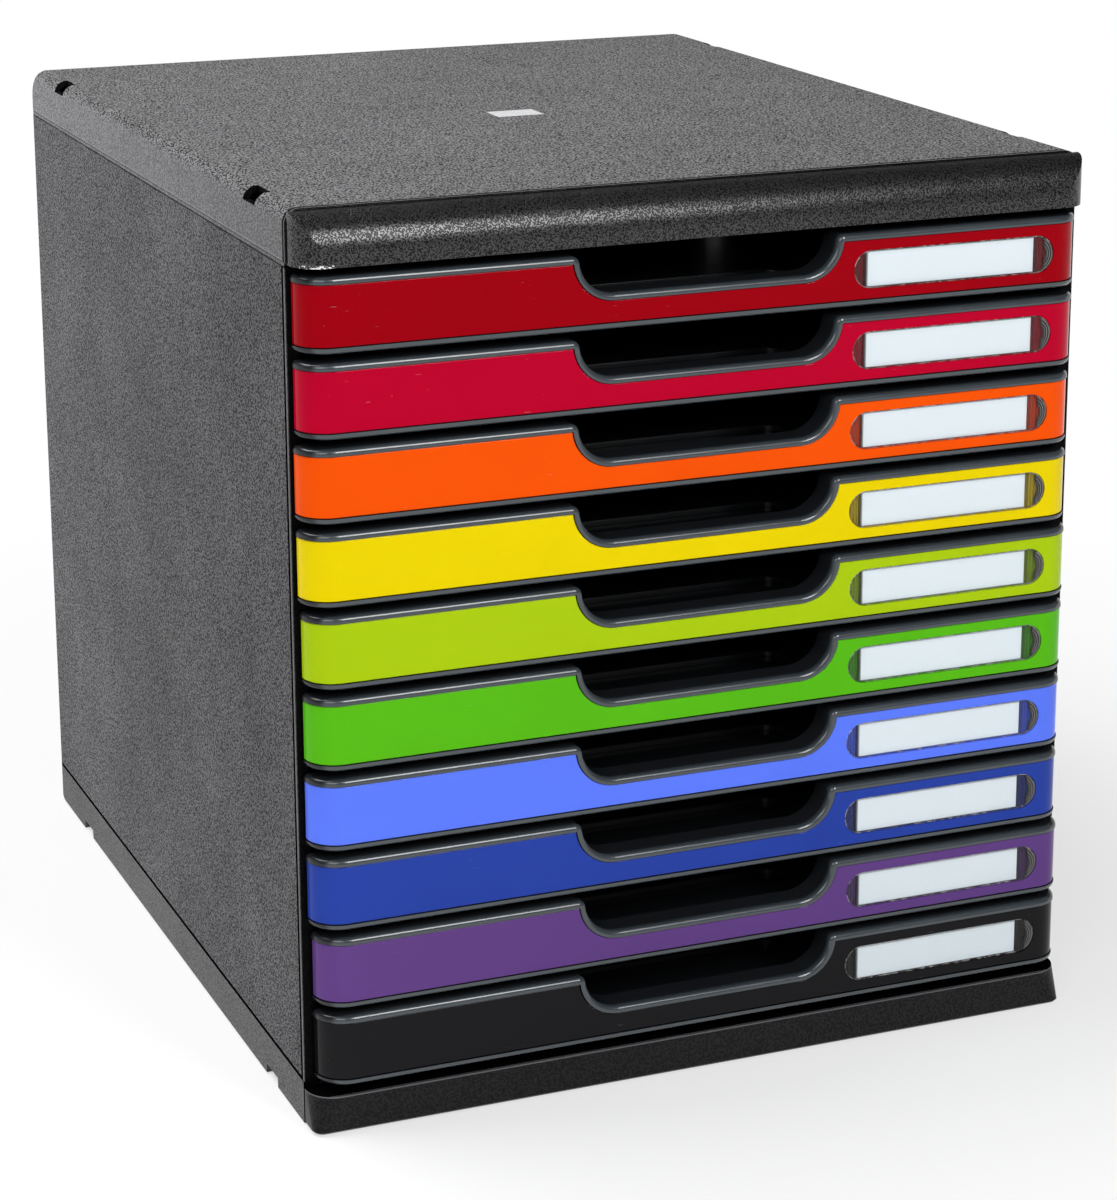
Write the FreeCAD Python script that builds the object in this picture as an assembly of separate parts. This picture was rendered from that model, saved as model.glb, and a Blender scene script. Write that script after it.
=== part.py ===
"""Desktop drawer unit: a stackable cabinet with ten shallow sliding drawers, in millimetres.

The origin is the middle of the footprint, on the surface that the unit stands on.
X runs to the viewer's right, Y runs from the drawer fronts to the back, Z is up.
"""
import FreeCAD, Part
import math
import os

V = FreeCAD.Vector

# Overall sizes
WIDTH = 288.0
DEPTH = 355.0
WALL = 2.2
FRONT_REACH = 12.0        # how far fronts, visor and fascia stand out of the carcass
DRAWER_COUNT = 10
DRAWER_PITCH = 28.05

# Heights
FOOT_REACH = 0.6          # the base hangs this far over the surface, on its pads
BASE_TOP = 16.2
DECK_DROP = 2.0           # the deck lies this far below the base's upper edge
FASCIA_DROP = 2.3
FIRST_GAP = 1.5           # between the base and the lowest drawer front
TOP_GAP = 2.6             # between the highest drawer front and the visor
VISOR_RISE = 0.9          # how much higher the visor's lower edge is than the skirt's
SKIRT_HEIGHT = 19.05

# Cover
SIDE_EDGE_R = 5.0
REAR_EDGE_R = 12.0
LIP_HEIGHT = 2.0
LIP_INSET = 0.4
SEAM = 1.0
SEAM_DEPTH = 1.0
COVER_RIB = (1.4, 3.5)    # thickness and drop
COVER_RIB_STEP = 80.0
NOTCH_LENGTH = 13.0
NOTCH_INSET = 5.5
NOTCH_DEPTH = 4.1
NOTCH_FROM_END = 49.5
TICK_WIDTH = 0.5          # the fine mark half way along each side edge

# Visor
VISOR_CORNER_R = 10.0
VISOR_NOSE = 13.0         # height of the rounded nose
VISOR_DROP = 0.3          # the bead hangs this far below the nose
BEAD_DEPTH = 1.2
BEAD_GROOVE = 0.6
BEAD_EDGE_R = 0.5
BEAD_FOOT_R = 1.5

# Badge
BADGE_WIDTH = 20.0
BADGE_DEPTH = 15.0
BADGE_THICK = 0.73
BADGE_FIT = 0.1
BADGE_SINK = 0.02
BADGE_EDGE_R = 0.25
BADGE_PLACE = (-5.5, -13.0)

# Side and back panels
SHADOW_LINE = 0.7
BORDER = 14.0             # round the sunk field of the back panel
FIELD_R = 8.0
FIELD_SINK = 0.7
BACK_RIB = (1.6, 2.0)     # thickness and height
BACK_RIB_STEP = 70.0
BACK_RIB_GAP = 8.0        # from its ends to the panel's edges

# Base and fascia
BASE_EDGE_R = 9.0
DECK_THICK = 2.0
BASE_NOTCH = 3.4
BASE_RIB = 1.6
BASE_RIB_LIFT = 1.4
BASE_RIB_STEP = 48.0
BASE_CROSS_STEP = 90.0
FASCIA_INSET = 1.1
FASCIA_LIFT = 0.1
FASCIA_CORNER_R = 10.4
CORNER_SPARE = 0.5        # straight stretch left behind a rounded corner
FASCIA_BOTTOM_R = 4.0
FASCIA_CHAMFER = 0.8
PAD_R = 8.0
PAD_THICK = 1.6
PAD_FIT = 0.1
PAD_CHAMFER = 0.3
PAD_WALL = 1.6
PAD_FROM_SIDE = 26.0
PAD_FROM_FRONT = 38.0
PAD_FROM_BACK = 30.0

# Drawer fronts
FRONT_SIDE = 2.0          # from the ends of a front to the cabinet's sides
FRONT_GAP = 2.95          # between one front and the next
CAP_GAP = 1.0             # between a front's rear face and the carcass
CORNER_R = 11.0
BEAD_R = 1.7
LOW_BEAD = 2.05
HIGH_BEAD = 2.35
PANEL_THICK = 2.4
PANEL_INSET = 0.35
PANEL_FIT = 0.18
PANEL_EDGE_R = 0.35
CAP_WALL = 1.9
CUT_HALF = 49.0           # finger cut-out, measured on the coloured panel
CUT_R = 14.4
CUT_REST = 7.7            # height of the panel left under the cut-out
SHOULDER_R = 2.6

# Label window
WINDOW_LENGTH = 77.0
WINDOW_HEIGHT = 13.3
WINDOW_X = 91.5
WINDOW_THICK = 1.0
WINDOW_SINK = 0.05
WINDOW_FIT = 0.15
WINDOW_EDGE = 0.35
POCKET_DEPTH = 1.6
RIB_COUNT = 5
RIB_PITCH = 1.15
RIB_WIDTH = 0.45
RIB_HEIGHT = 0.3
RIB_FROM_END = 1.6
CARD_LENGTH = 64.2
CARD_HEIGHT = 12.2
CARD_THICK = 0.22
CARD_GAP = 0.02
CARD_SHIFT = -1.2

# Trays
TRAY_WALL = 1.6
TRAY_SIDE_TOP = 19.0
FLOOR_TOP = 4.4
FLOOR_EDGE_R = 0.7
SCOOP_TOP = 2.2
SCOOP_REACH = 50.0
SCOOP_R = 7.0
REAR_CLEAR = 4.0
TRAY_CORNER_R = 6.0
FLANGE_THICK = 1.8
TRAY_OVERLAP = 0.5        # how far joined parts of a tray or a runner run into each other

# Runners
RUNNER_WALL = 2.2
SIDE_PLAY = 1.5           # between tray and runner, each side
RUN_CLEAR = 0.25
RAIL_WIDTH = 4.7
RAIL_THICK = 2.0
GUIDE_THICK = 1.6
GUIDE_CLEAR = 0.3
GUIDE_SETBACK = 8.0
EAR_LENGTH = 5.0
EAR_REACH = 4.6
EAR_HEIGHT = 3.8
EAR_DROP = 0.65
STOP_LENGTH = 5.0
STOP_PLAY = 0.6           # between the tray's side and the stop
STOP_FROM_FRONT = 4.0
TRAVEL = 245.0
TRAVEL_MARGIN = 0.5
BEZEL_THICK = 1.8
BEZEL_GROOVE = 1.0
BEZEL_GROOVE_DEPTH = 0.8
RUNNER_TUCK = 1.0         # from the runner's top to the start of the cover's rear curve
REST_SHIFT = {1: -0.6, 2: -0.6, 3: -1.0, 4: -0.8, 9: 1.2, 10: 1.2}

# Planes worked out from the sizes
HALF = WIDTH / 2
BACK = DEPTH / 2
FRONT = -DEPTH / 2
CARCASS = FRONT + FRONT_REACH
INNER = HALF - WALL
DECK_TOP = BASE_TOP - DECK_DROP
DECK_UNDER = DECK_TOP - DECK_THICK
FASCIA_TOP = BASE_TOP - FASCIA_DROP
FASCIA_TOP_R = min(FASCIA_CORNER_R, FRONT_REACH - FASCIA_INSET - CORNER_SPARE)
VISOR_TOP_R = min(VISOR_CORNER_R, FRONT_REACH - BEAD_DEPTH)
DRAWER_FIRST = BASE_TOP + FIRST_GAP
FRONT_HEIGHT = DRAWER_PITCH - FRONT_GAP
FRONT_HALF = HALF - FRONT_SIDE
VISOR_BOTTOM = DRAWER_FIRST + DRAWER_COUNT * DRAWER_PITCH - FRONT_GAP + TOP_GAP
SKIRT_BOTTOM = VISOR_BOTTOM - VISOR_RISE
HEIGHT = SKIRT_BOTTOM + SKIRT_HEIGHT
RUNNER_FACE = INNER - RUNNER_WALL
RAIL_TIP = RUNNER_FACE - RAIL_WIDTH
TRAY_HALF = RAIL_TIP - SIDE_PLAY
CAP_BACK = CARCASS - CAP_GAP
PANEL_FACE = FRONT + PANEL_INSET
PANEL_BACK = PANEL_INSET + PANEL_THICK
PANEL_TOP = FRONT_HEIGHT - HIGH_BEAD
WINDOW_Z = (LOW_BEAD + PANEL_TOP) / 2
WINDOW_FACE = PANEL_FACE + WINDOW_SINK
TRAY_FRONT = CAP_BACK - TRAY_OVERLAP
TRAY_BACK = BACK - WALL - REAR_CLEAR
SCOOP_BACK = FRONT + SCOOP_REACH
STOP_BACK = CARCASS + STOP_FROM_FRONT + STOP_LENGTH
EAR_FRONT = STOP_BACK + TRAVEL + TRAVEL_MARGIN
NOTCHES = (FRONT + NOTCH_FROM_END, BACK - NOTCH_FROM_END)
PAST = 1.0                # how far a cutting shape runs past what it cuts


def block(x0, x1, y0, y1, z0, z1):
    """A box between two corners."""
    return Part.makeBox(x1 - x0, y1 - y0, z1 - z0, V(x0, y0, z0))


def mirror_x(shape):
    """The same shape on the other side."""
    return shape.mirror(V(0, 0, 0), V(1, 0, 0))


def both(shape):
    """A shape and its mirror image, in one list."""
    return [shape, mirror_x(shape)]


def near(a, b):
    """True where two lengths are the same."""
    return abs(a - b) < 1e-4


def line(a, b):
    """A straight edge between two points."""
    return Part.LineSegment(a, b).toShape()


def arc(a, middle, b):
    """A round edge through three points."""
    return Part.Arc(a, middle, b).toShape()


def middle_of(edge):
    """The point half way along an edge."""
    return edge.valueAt((edge.FirstParameter + edge.LastParameter) / 2)


def edges_where(shape, test):
    """The edges whose two ends and middle pass a test on (x, y, z)."""
    found = []
    for edge in shape.Edges:
        points = [vertex.Point for vertex in edge.Vertexes] + [middle_of(edge)]
        if all(test(p.x, p.y, p.z) for p in points):
            found.append(edge)
    return found


def steps(pitch, count):
    """Places in a row of count about zero, pitch apart."""
    return [(i - (count - 1) / 2) * pitch for i in range(count)]


def rounded_plan(x_half, y_front, y_back, radius, z):
    """A closed plan outline with two rounded front corners, as a wire at height z."""
    turn = radius * (1 - math.sqrt(0.5))
    left, right = -x_half, x_half
    a, b = V(left, y_back, z), V(left, y_front + radius, z)
    c, d = V(left + radius, y_front, z), V(right - radius, y_front, z)
    e, f = V(right, y_front + radius, z), V(right, y_back, z)
    left_turn = arc(b, V(left + turn, y_front + turn, z), c)
    right_turn = arc(d, V(right - turn, y_front + turn, z), e)
    return Part.Wire([line(a, b), left_turn, line(c, d), right_turn, line(e, f), line(f, a)])


def plan_prism(x_half, y_front, y_back, radius, z0, z1):
    """An upright prism with two rounded front corners."""
    face = Part.Face(rounded_plan(x_half, y_front, y_back, radius, z0))
    return face.extrude(V(0, 0, z1 - z0))


def with_rear_corners(shape):
    """A shape cut back to the upright rounding of the two rear corners."""
    prism = plan_prism(HALF, -BACK, DEPTH, SIDE_EDGE_R, -PAST, HEIGHT + PAST)
    prism.rotate(V(0, 0, 0), V(0, 0, 1), 180)
    return shape.common(prism)


def stadium(length, height, y0, y1):
    """A bar with round ends, laid along X at the label window's place, between two Y planes."""
    r = height / 2
    reach = length / 2 - r
    bar = block(WINDOW_X - reach, WINDOW_X + reach, y0, y1, WINDOW_Z - r, WINDOW_Z + r)
    ends = []
    for side in (-1, 1):
        ends.append(Part.makeCylinder(r, y1 - y0, V(WINDOW_X + side * reach, y0, WINDOW_Z), V(0, 1, 0)))
    return bar.fuse(ends).removeSplitter()


# Cover and visor
def cover_shell():
    """The cover's skin, with its rounded side and rear edges, outside and inside."""
    front = CARCASS + SEAM
    outer = block(-HALF, HALF, front, BACK, SKIRT_BOTTOM, HEIGHT)
    rear = edges_where(outer, lambda x, y, z: near(y, BACK) and near(z, HEIGHT))
    outer = outer.makeFillet(REAR_EDGE_R, rear)
    outer = outer.makeFillet(SIDE_EDGE_R, side_edges(outer, HALF, HEIGHT))
    inner = block(-INNER, INNER, front + WALL, BACK - WALL, SKIRT_BOTTOM - PAST, HEIGHT - WALL)
    rear = edges_where(inner, lambda x, y, z: near(y, BACK - WALL) and near(z, HEIGHT - WALL))
    inner = inner.makeFillet(REAR_EDGE_R - WALL, rear)
    inner = inner.makeFillet(SIDE_EDGE_R - WALL, side_edges(inner, INNER, HEIGHT - WALL))
    return outer.cut(inner)


def side_edges(shape, half, top):
    """The long upper edges of a shell along its two sides."""
    runs = edges_where(shape, lambda x, y, z: near(abs(x), half) and near(z, top))
    return [edge for edge in runs if edge.Length > REAR_EDGE_R]


def cover_lip():
    """What is cut away round the skirt's lower edge to set it back."""
    front = CARCASS + SEAM - PAST
    low, wide = SKIRT_BOTTOM - PAST, HALF + PAST
    ring = block(-wide, wide, front, BACK + PAST, low, SKIRT_BOTTOM + LIP_HEIGHT)
    half = HALF - LIP_INSET
    return ring.cut(block(-half, half, front - PAST, BACK - LIP_INSET, low - PAST, HEIGHT))


def badge_box(inset, low, high):
    """The badge's footprint between two heights, drawn in by an inset."""
    x, y = BADGE_PLACE
    w, d = BADGE_WIDTH / 2 - inset, BADGE_DEPTH / 2 - inset
    return block(x - w, x + w, y - d, y + d, low, high)


def top_cover():
    """The moulded top: a shell with rounded edges, a set-back lip and four stacking notches."""
    cuts = [cover_lip(), badge_box(0.0, HEIGHT - BADGE_SINK - BADGE_THICK, HEIGHT + PAST)]
    edge = HALF - NOTCH_INSET
    for y in NOTCHES:
        y0, y1 = y - NOTCH_LENGTH / 2, y + NOTCH_LENGTH / 2
        cuts += both(block(edge, HALF + PAST, y0, y1, HEIGHT - NOTCH_DEPTH, HEIGHT + PAST))
    tick = TICK_WIDTH / 2
    cuts += both(block(edge, HALF, -tick, tick, HEIGHT - SIDE_EDGE_R / 2, HEIGHT + PAST))
    thick, drop = COVER_RIB
    ribs = []
    for y in steps(COVER_RIB_STEP, 3):
        ribs.append(block(-INNER, INNER, y - thick / 2, y + thick / 2, HEIGHT - WALL - drop, HEIGHT - WALL))
    return cover_shell().cut(cuts).fuse(ribs).removeSplitter()


def visor_nose(front, top, bottom, nose):
    """A solid bar of the visor's section: flat back, quarter-ellipse nose and a straight drop."""
    back = CARCASS - BEAD_DEPTH
    reach = back - front
    ellipse = Part.Ellipse()
    ellipse.Center = V(-HALF, back, top - nose)
    ellipse.MajorRadius = max(nose, reach)
    ellipse.MinorRadius = min(nose, reach)
    ellipse.Axis = V(1, 0, 0)
    ellipse.XAxis = V(0, 0, 1) if nose >= reach else V(0, -1, 0)
    crown, brow = V(-HALF, back, top), V(-HALF, front, top - nose)
    start, end = ellipse.parameter(crown), ellipse.parameter(brow)
    if end < start:
        end += 2 * math.pi
    if end - start > math.pi:
        start, end = end - 2 * math.pi, start
    foot, heel = V(-HALF, front, bottom), V(-HALF, back, bottom)
    edges = [Part.Edge(ellipse, start, end), line(brow, foot), line(foot, heel), line(heel, crown)]
    face = Part.Face(Part.Wire(Part.__sortEdges__(edges)))
    return face.extrude(V(WIDTH, 0, 0))


def visor_bead():
    """The rim of the visor, which follows the cover's rounded edges."""
    bead = block(-HALF, HALF, CARCASS - BEAD_DEPTH, CARCASS, VISOR_BOTTOM, HEIGHT)
    upper = edges_where(bead, lambda x, y, z: near(abs(x), HALF) and near(z, HEIGHT))
    bead = bead.makeFillet(SIDE_EDGE_R, upper)
    lower = edges_where(bead, lambda x, y, z: near(abs(x), HALF) and near(z, VISOR_BOTTOM))
    bead = bead.makeFillet(BEAD_FOOT_R, lower)
    return bead.makeFillet(BEAD_EDGE_R, edges_where(bead, lambda x, y, z: near(y, CARCASS - BEAD_DEPTH)))


def visor_plug():
    """The tongue that closes the seam between visor and cover."""
    side, top = HALF - SEAM_DEPTH, HEIGHT - SEAM_DEPTH
    plug = block(-side, side, CARCASS, CARCASS + SEAM, SKIRT_BOTTOM + LIP_HEIGHT, top)
    corners = edges_where(plug, lambda x, y, z: near(abs(x), side) and near(z, top))
    return plug.makeFillet(SIDE_EDGE_R - SEAM_DEPTH, corners)


def visor_hollow():
    """The space inside the visor's nose, open below."""
    top, bottom = HEIGHT - BEAD_GROOVE - WALL, VISOR_BOTTOM - 2 * PAST
    hollow = visor_nose(FRONT + WALL, top, bottom, VISOR_NOSE - BEAD_EDGE_R)
    hollow = hollow.fuse(block(-HALF, HALF, CARCASS - BEAD_DEPTH - PAST / 10, CARCASS + 5, bottom, top))
    half = HALF - BEAD_GROOVE - WALL
    radius = VISOR_TOP_R - WALL
    return hollow.common(plan_prism(half, FRONT + WALL, CARCASS + 6, radius, bottom - PAST, HEIGHT))


def top_visor():
    """The rounded cap over the drawers: a beaded rim, a groove and a hollow nose."""
    nose = visor_nose(FRONT, HEIGHT - BEAD_GROOVE, VISOR_BOTTOM + VISOR_DROP, VISOR_NOSE)
    half, radius = HALF - BEAD_GROOVE, VISOR_TOP_R
    nose = nose.common(plan_prism(half, FRONT, CARCASS, radius, VISOR_BOTTOM - PAST, HEIGHT + PAST))
    nose = nose.makeFillet(BEAD_EDGE_R, edges_where(nose, lambda x, y, z: near(y, CARCASS - BEAD_DEPTH)))
    return visor_bead().fuse([nose, visor_plug()]).cut(visor_hollow()).removeSplitter()


def badge_plate():
    """The small bare plate let into the cover."""
    top = HEIGHT - BADGE_SINK
    plate = badge_box(BADGE_FIT, top - BADGE_THICK, top)
    return plate.makeFillet(BADGE_EDGE_R, edges_where(plate, lambda x, y, z: near(z, top)))


# Sides, back and base
def side_panel():
    """The right side: a textured plate with a shadow line above the base."""
    front = CARCASS + BEZEL_THICK + BEZEL_GROOVE
    panel = block(INNER, HALF, front, BACK, BASE_TOP, SKIRT_BOTTOM)
    line_top = BASE_TOP + SHADOW_LINE
    groove = block(HALF - SHADOW_LINE, HALF + PAST, front - PAST, BACK + PAST, BASE_TOP - PAST, line_top)
    return with_rear_corners(panel.cut(groove))


def back_panel():
    """The back plate between the sides, with a shallow sunk field and three stiffening ribs inside."""
    plate = block(-INNER, INNER, BACK - WALL, BACK, BASE_TOP, SKIRT_BOTTOM)
    side, low, high = INNER - BORDER, BASE_TOP + BORDER, SKIRT_BOTTOM - BORDER
    field = block(-side, side, BACK - FIELD_SINK, BACK + PAST, low, high)
    corners = edges_where(field, lambda x, y, z: near(abs(x), side) and (near(z, low) or near(z, high)))
    field = field.makeFillet(FIELD_R, corners)
    thick, rise = BACK_RIB
    low, high = BASE_TOP + BACK_RIB_GAP, SKIRT_BOTTOM - BACK_RIB_GAP
    ribs = []
    for x in steps(BACK_RIB_STEP, 3):
        ribs.append(block(x - thick / 2, x + thick / 2, BACK - WALL - rise, BACK - WALL, low, high))
    return with_rear_corners(plate.cut(field).fuse(ribs).removeSplitter())


def pad_places():
    """The middles of the four pads."""
    x = HALF - PAD_FROM_SIDE
    rows = (FRONT + PAD_FROM_FRONT, BACK - PAD_FROM_BACK)
    return [(side * x, y) for side in (-1, 1) for y in rows]


def base_ribs():
    """The ribs under the deck and the seats of the pads."""
    half, low = BASE_RIB / 2, FOOT_REACH + BASE_RIB_LIFT
    front, back = CARCASS + SEAM + WALL, BACK - WALL
    ribs = [block(x - half, x + half, front, back, low, DECK_UNDER) for x in steps(BASE_RIB_STEP, 5)]
    ribs += [block(-INNER, INNER, y - half, y + half, low, DECK_UNDER) for y in steps(BASE_CROSS_STEP, 3)]
    seat = FOOT_REACH + PAD_CHAMFER
    for x, y in pad_places():
        ribs.append(Part.makeCylinder(PAD_R + PAD_WALL, DECK_UNDER - seat, V(x, y, seat)))
    return ribs


def base_pan():
    """The base: a deck with skirts, ribs below and recesses for the pads."""
    front = CARCASS + SEAM
    outer = block(-HALF, HALF, front, BACK, FOOT_REACH, BASE_TOP)
    heel = edges_where(outer, lambda x, y, z: near(y, BACK) and near(z, FOOT_REACH))
    outer = outer.makeFillet(BASE_EDGE_R, heel)
    lower = block(-INNER, INNER, front + WALL, BACK - WALL, FOOT_REACH - PAST, DECK_UNDER)
    heel = edges_where(lower, lambda x, y, z: near(y, BACK - WALL) and near(z, FOOT_REACH - PAST))
    lower = lower.makeFillet(BASE_EDGE_R - WALL, heel)
    upper = block(-INNER, INNER, front - PAST, BACK - WALL, DECK_TOP, BASE_TOP + PAST)
    ribs = [rib.common(lower) for rib in base_ribs()]
    cuts = [Part.makeCylinder(PAD_R, PAD_THICK - FOOT_REACH, V(x, y, FOOT_REACH)) for x, y in pad_places()]
    low, high = FOOT_REACH - PAST, FOOT_REACH + BASE_NOTCH
    for y in NOTCHES:
        cuts += both(block(INNER - PAST, HALF + PAST, y - NOTCH_LENGTH / 2, y + NOTCH_LENGTH / 2, low, high))
    return with_rear_corners(outer.cut([lower, upper]).fuse(ribs).cut(cuts).removeSplitter())


def foot_pads():
    """Four soft pads under the base."""
    pads = []
    for x, y in pad_places():
        pad = Part.makeCylinder(PAD_R - PAD_FIT, PAD_THICK, V(x, y, 0))
        rim = [edge for edge in pad.Edges if len(edge.Vertexes) == 1 and near(edge.Vertexes[0].Z, 0)]
        pads.append(pad.makeChamfer(PAD_CHAMFER, rim))
    return Part.makeCompound(pads)


def base_fascia():
    """The front strip of the base: round corners above that sharpen towards the floor."""
    front = FRONT + FASCIA_INSET
    low, high = FOOT_REACH + FASCIA_LIFT, FASCIA_TOP

    def skin(levels, back):
        """A loft through plan outlines, each given by its inset, corner radius and height."""
        wires = []
        for inset, radius, z in levels:
            wires.append(rounded_plan(HALF - inset, front + inset, back, radius - inset, z))
        return Part.makeLoft(wires, True, True)

    foot = (FASCIA_CHAMFER, FASCIA_BOTTOM_R, low)
    shin = (0.0, FASCIA_BOTTOM_R, low + FASCIA_CHAMFER)
    outer = skin([foot, shin, (0.0, FASCIA_TOP_R, high)], CARCASS)
    inside = [(WALL, FASCIA_BOTTOM_R, low - PAST), (WALL, FASCIA_TOP_R, high - WALL)]
    inner = skin(inside, CARCASS + 2 * PAST)
    side, plug_low = HALF - SEAM_DEPTH, low + SEAM_DEPTH
    plug = block(-side, side, CARCASS, CARCASS + SEAM, plug_low, high - SEAM_DEPTH / 2)
    reach = side - WALL
    way = block(-reach, reach, CARCASS - PAST, CARCASS + SEAM + PAST, low, high - WALL - SEAM_DEPTH)
    half = BASE_RIB / 2
    ribs = []
    for x in steps(BASE_RIB_STEP, 5):
        ribs.append(block(x - half, x + half, front + WALL / 2, CARCASS + SEAM, plug_low, high - WALL / 2))
    return outer.cut(inner).fuse([plug.cut(way)] + ribs).removeSplitter()


# Drawers and runners
def drawer_base(index):
    """The underside height of a drawer front, counted from the top drawer."""
    return DRAWER_FIRST + (DRAWER_COUNT - index) * DRAWER_PITCH


def runner_frame():
    """The right runner: a wall with a channel for each drawer, front stops and a front bezel."""
    top = HEIGHT - REAR_EDGE_R - RUNNER_TUCK
    root = RUNNER_FACE + TRAY_OVERLAP
    wall = block(RUNNER_FACE, INNER, CARCASS, BACK - WALL, DECK_TOP, top)
    ends = ((CARCASS - PAST, CARCASS + SEAM + WALL), (BACK - WALL - SIDE_EDGE_R, BACK))
    for y0, y1 in ends:
        wall = wall.cut(block(RUNNER_FACE - PAST, INNER + PAST, y0, y1, SKIRT_BOTTOM, top + PAST))
    parts = [block(RUNNER_FACE, HALF, CARCASS, CARCASS + BEZEL_THICK, BASE_TOP, SKIRT_BOTTOM)]
    tongue_end = CARCASS + BEZEL_THICK + BEZEL_GROOVE
    inside, outside = INNER - TRAY_OVERLAP, HALF - BEZEL_GROOVE_DEPTH
    parts.append(block(inside, outside, CARCASS, tongue_end, BASE_TOP + FIRST_GAP, SKIRT_BOTTOM))
    start = CARCASS + STOP_FROM_FRONT
    for index in range(1, DRAWER_COUNT + 1):
        flange = drawer_base(index) + TRAY_SIDE_TOP
        seat = flange - FLANGE_THICK - RUN_CLEAR
        rail = seat - RAIL_THICK
        roof = flange + GUIDE_CLEAR
        parts.append(block(RAIL_TIP, root, start, TRAY_BACK, rail, seat))
        parts.append(block(RAIL_TIP, root, start + GUIDE_SETBACK, TRAY_BACK, roof, roof + GUIDE_THICK))
        parts.append(block(RAIL_TIP + STOP_PLAY, root, start, STOP_BACK, rail - EAR_DROP - EAR_HEIGHT, rail))
    return wall.fuse(parts).removeSplitter()


def cut_out(low, top, drop):
    """The finger cut-out's outline from its upper right to its upper left corner, as edges.

    drop moves the curve from the coloured panel's own edge: 0 is the panel, and a positive value
    is nearer the finger.
    """
    rest = LOW_BEAD + CUT_REST + drop
    radius = CUT_R - drop
    reach = CUT_HALF - CUT_R
    rise = max(rest + radius - top, 0.0)
    angle = math.asin(rise / radius)
    middle = (math.pi / 2 + angle) / 2
    start = V(reach + radius * math.cos(angle), 0, rest + radius - rise)
    bend = V(reach + radius * math.cos(middle), 0, rest + radius - radius * math.sin(middle))
    right = [arc(start, bend, V(reach, 0, rest))]
    if top - start.z > 1e-4:
        right.insert(0, line(V(start.x, 0, top), start))
    left = [mirror_x(edge) for edge in right]
    return right + [line(V(reach, 0, rest), V(-reach, 0, rest))] + left[::-1]


def front_slab(extra, low, high, drop, y0, y1):
    """The drawer front's outline with its finger cut-out, as a slab between two Y planes."""
    half = FRONT_HALF + extra
    edges = cut_out(low, high, drop)
    brow = edges[0].Vertexes[0].Point.x
    right, left = V(half, 0, low), V(-half, 0, low)
    edges += [line(V(-brow, 0, high), V(-half, 0, high)), line(V(-half, 0, high), left), line(left, right)]
    edges += [line(right, V(half, 0, high)), line(V(half, 0, high), V(brow, 0, high))]
    slab = Part.Face(Part.Wire(Part.__sortEdges__(edges))).extrude(V(0, y1 - y0, 0))
    slab.translate(V(0, y0, 0))
    return slab


def corner_prism(inset, low, high, y_back):
    """An upright prism that follows a front's two round ends, set back from them by an inset."""
    return plan_prism(FRONT_HALF - inset, FRONT + inset, y_back, CORNER_R - inset, low, high)


def round_shoulders(slab):
    """Rounds the two convex corners where the cut-out meets the upper edge."""
    reach = CUT_HALF + CUT_R
    picked = edges_where(slab, lambda x, y, z: near(z, FRONT_HEIGHT) and abs(x) < reach)
    across = [edge for edge in picked if near(edge.Vertexes[0].Point.x, edge.Vertexes[1].Point.x)]
    return slab.makeFillet(SHOULDER_R, across)


def is_rim(edge):
    """True for a visible edge of a drawer front, and false for its upright and rear edges."""
    ends = [vertex.Point for vertex in edge.Vertexes]
    if all(near(p.y, CAP_BACK) for p in ends + [middle_of(edge)]):
        return False
    a, b = ends[0], ends[-1]
    upright = near(a.x, b.x) and near(a.y, b.y)
    along = near(a.x, b.x) and near(a.z, b.z)
    return not (upright or along)


def cap_body():
    """The moulded front of a tray before its panel recess: beaded edges that follow the cut-out."""
    slab = round_shoulders(front_slab(0.0, 0.0, FRONT_HEIGHT, HIGH_BEAD, FRONT, CAP_BACK))
    cap = slab.common(corner_prism(0.0, -PAST, FRONT_HEIGHT + PAST, 0.0))
    return cap.makeFillet(BEAD_R, [edge for edge in cap.Edges if is_rim(edge)])


def panel_zone(grow, skin, deep):
    """The space of the coloured panel: its outline, between two skins that follow the corners."""
    low, high = LOW_BEAD - grow, PANEL_TOP + grow
    slab = front_slab(PAST, low, high, grow, FRONT - PAST, CAP_BACK)
    outer = corner_prism(skin, low - PAST, high + PAST, 0.0)
    inner = corner_prism(deep, low - 2 * PAST, high + 2 * PAST, PAST)
    return slab.common(outer).cut(inner)


def on_skin(edge):
    """True where an edge lies all along the coloured panel's outer skin."""
    centre_x, centre_y = FRONT_HALF - CORNER_R, FRONT + CORNER_R
    radius = CORNER_R - PANEL_INSET
    for step in range(5):
        spot = edge.valueAt(edge.FirstParameter + (edge.LastParameter - edge.FirstParameter) * step / 4)
        x, y = abs(spot.x) - centre_x, spot.y - centre_y
        reach = math.hypot(x, y) if x > 0 and y < 0 else max(x, -y)
        if abs(reach - radius) > 1e-3:
            return False
    return True


def pocket_ribs():
    """The fine upright ribs at both ends of the window's pocket."""
    ribs = []
    floor = PANEL_FACE + POCKET_DEPTH
    y0, y1 = floor - RIB_HEIGHT, floor + PAST / 10
    r = WINDOW_HEIGHT / 2
    for side in (-1, 1):
        for step in range(RIB_COUNT):
            off = WINDOW_LENGTH / 2 - RIB_FROM_END - step * RIB_PITCH
            round_off = max(off - (WINDOW_LENGTH / 2 - r), 0.0)
            tall = math.sqrt(r * r - round_off * round_off) - RIB_WIDTH
            x0 = WINDOW_X + side * off - RIB_WIDTH / 2
            ribs.append(block(x0, x0 + RIB_WIDTH, y0, y1, WINDOW_Z - tall, WINDOW_Z + tall))
    return ribs


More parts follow.
